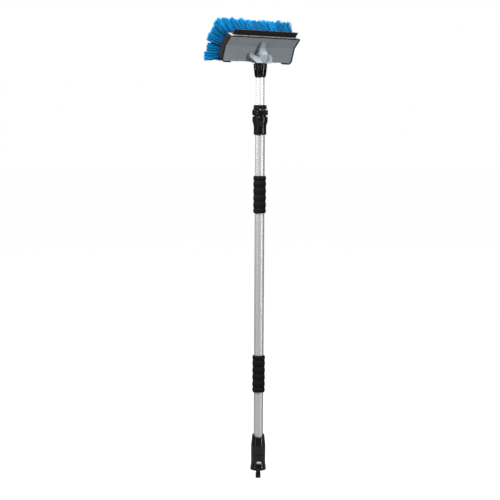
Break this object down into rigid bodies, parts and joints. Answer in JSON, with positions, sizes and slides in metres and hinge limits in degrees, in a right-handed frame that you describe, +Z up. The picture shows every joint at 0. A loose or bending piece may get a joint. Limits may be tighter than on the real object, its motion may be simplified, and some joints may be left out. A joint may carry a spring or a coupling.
{
  "type": "telescopic wash brush",
  "caption": "Water-fed telescopic wash brush with blue bristles, a squeegee blade, a twist-lock aluminium pole, foam grips and a hose valve",
  "frame": {"origin": "on the pole's axis, at the end face of the hose plug", "axes": "+Z up the pole towards the head, +X along the head, +Y to the bristle side"},
  "size_m": [0.254, 0.1014, 1.1905],
  "materials": {
    "black_plastic": "glossy black moulded plastic",
    "grey_plastic": "satin mid grey moulded plastic",
    "silver_plastic": "light silver-grey moulded plastic",
    "aluminium": "satin anodised tube",
    "foam": "matt black foam rubber",
    "black_rubber": "black rubber",
    "bristle": "soft blue flagged bristles",
    "white_plastic": "natural white acetal",
    "steel": "plated steel screws"
  },
  "bodies": {
    "lower_pole": {"hose_plug": "black_plastic", "plug_o_ring": "black_rubber", "valve_body": "black_plastic", "body_seal": "black_rubber", "end_sleeve": "black_plastic", "lower_tube": "aluminium", "lower_grip": "foam", "upper_grip": "foam", "lock_sleeve": "black_plastic", "stop_bush": "white_plastic"},
    "valve_slider": {"thumb_slider": "silver_plastic", "valve_spool": "white_plastic", "spool_o_ring": "black_rubber"},
    "sliding_ring": {"wear_ring": "white_plastic"},
    "upper_pole": {"upper_tube": "aluminium", "piston": "white_plastic", "piston_o_ring": "black_rubber", "tube_spigot": "white_plastic", "hose_washer": "black_rubber"},
    "collet": {"lock_collet": "white_plastic"},
    "twist_nut": {"lock_nut": "black_plastic", "wiper_seal": "black_rubber"},
    "cone_nut": {"connector_nut": "black_plastic"},
    "head": {"pole_socket": "silver_plastic", "socket_screws": "steel", "back_cover": "grey_plastic", "cover_gasket": "black_rubber", "brush_block": "grey_plastic", "bumper": "black_rubber", "blade_rail": "aluminium", "squeegee_blade": "black_rubber", "bristles_row_1": "bristle", "bristles_row_2": "bristle", "bristles_row_3": "bristle", "bristles_row_4": "bristle", "bristles_row_5": "bristle"}
  },
  "joints": [
    {"name": "telescope_slide", "type": "slide", "parent": "lower_pole", "child": "sliding_ring", "axis": [0, 0, 1], "range_m": [0, 0.7]},
    {"name": "pole_turn", "type": "hinge", "parent": "sliding_ring", "child": "upper_pole", "pos_m": [0, 0, 0.0885], "axis": [0, 0, 1], "range_deg": [-180, 180]},
    {"name": "collet_rise", "type": "slide", "parent": "lower_pole", "child": "collet", "axis": [0, 0, 1], "range_m": [0, 0.0015]},
    {"name": "lock_nut_turn", "type": "hinge", "parent": "collet", "child": "twist_nut", "pos_m": [0, 0, 0.943], "axis": [0, 0, 1], "range_deg": [0, 180]},
    {"name": "connector_nut_turn", "type": "hinge", "parent": "upper_pole", "child": "cone_nut", "pos_m": [0, 0, 1.0407], "axis": [0, 0, 1], "range_deg": [0, 720]},
    {"name": "head_rise", "type": "slide", "parent": "upper_pole", "child": "head", "axis": [0, 0, 1], "range_m": [0, 0.006]},
    {"name": "thumb_slide", "type": "slide", "parent": "lower_pole", "child": "valve_slider", "axis": [0, 0, 1], "range_m": [0, 0.006]}
  ],
  "couplings": [
    {"joint": "lock_nut_turn", "follows": "collet_rise", "rad_per_m": 2094.4},
    {"joint": "connector_nut_turn", "follows": "head_rise", "rad_per_m": 2094.4}
  ]
}
